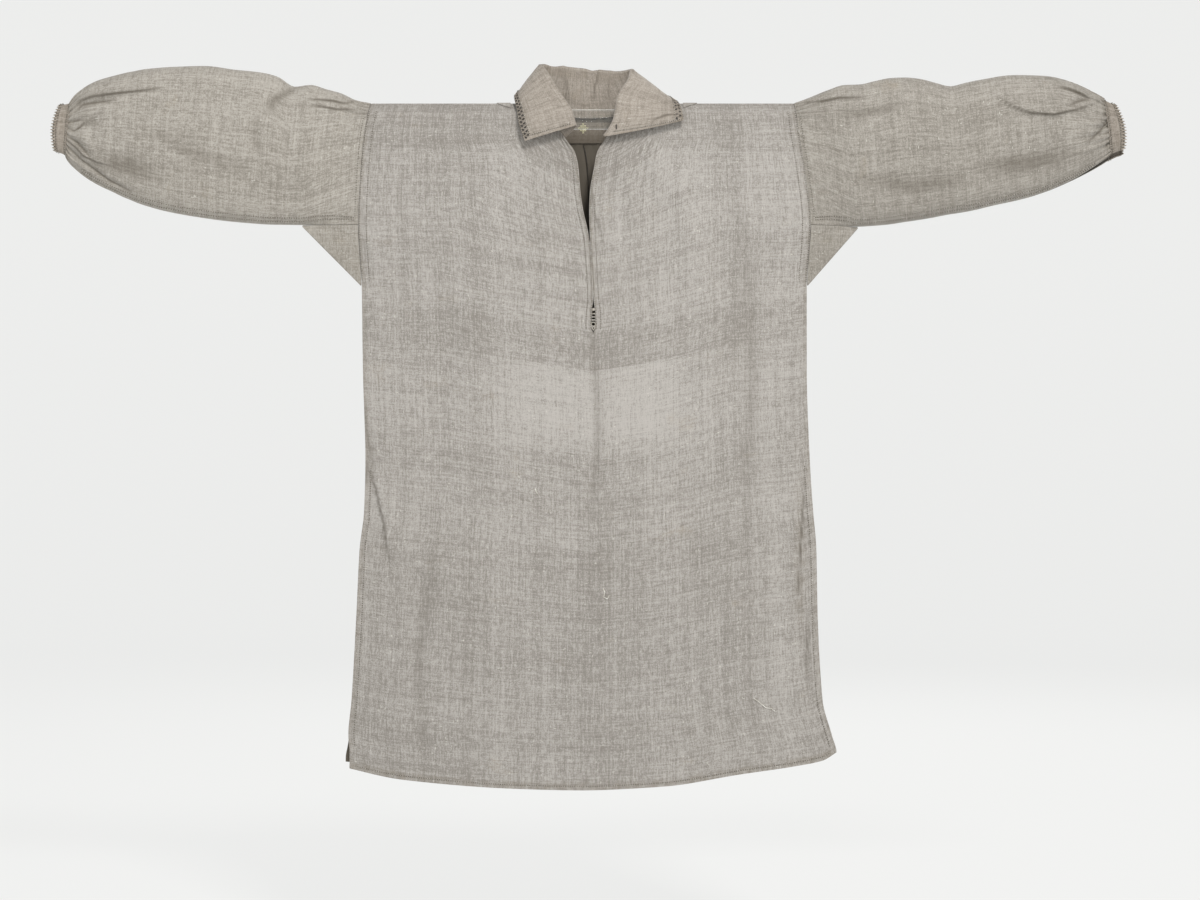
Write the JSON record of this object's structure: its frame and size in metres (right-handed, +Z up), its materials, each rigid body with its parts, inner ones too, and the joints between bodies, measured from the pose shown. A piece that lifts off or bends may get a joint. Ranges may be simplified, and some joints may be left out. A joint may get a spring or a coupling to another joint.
{
  "type": "linen shirt on a clear rod",
  "caption": "Hand-sewn linen shirt with a turned-down collar, short front slit and full gathered sleeves, hanging flat with its arms out on a clear round rod.",
  "frame": {"origin": "middle of the rod that holds the shirt, at the mount rod_middle", "axes": "+X along the rod towards the viewer's right as the front is looked at, -Y out of the shirt's front, +Z up"},
  "size_m": [1.7132, 0.0707, 1.1608],
  "materials": {
    "body_linen": "plain-woven grey-beige linen, slubbed, with faint woven bands",
    "sleeve_linen": "plain-woven linen, a little browner than the body",
    "collar_linen": "closer plain-woven linen, worn along its edges",
    "thread": "twisted linen sewing thread",
    "clear_acrylic": "clear polished acrylic"
  },
  "bodies": {
    "root": {"front": "body_linen", "back": "body_linen", "collar": "collar_linen", "neck_lining": "collar_linen", "neck_gusset_left": "body_linen", "neck_gusset_right": "body_linen", "slit_lace": "thread", "sleeve_left": "sleeve_linen", "sleeve_right": "sleeve_linen", "gusset_left": "sleeve_linen", "gusset_right": "sleeve_linen", "cuff_left": "collar_linen", "cuff_right": "collar_linen", "rod": "clear_acrylic"}
  },
  "joints": []
}
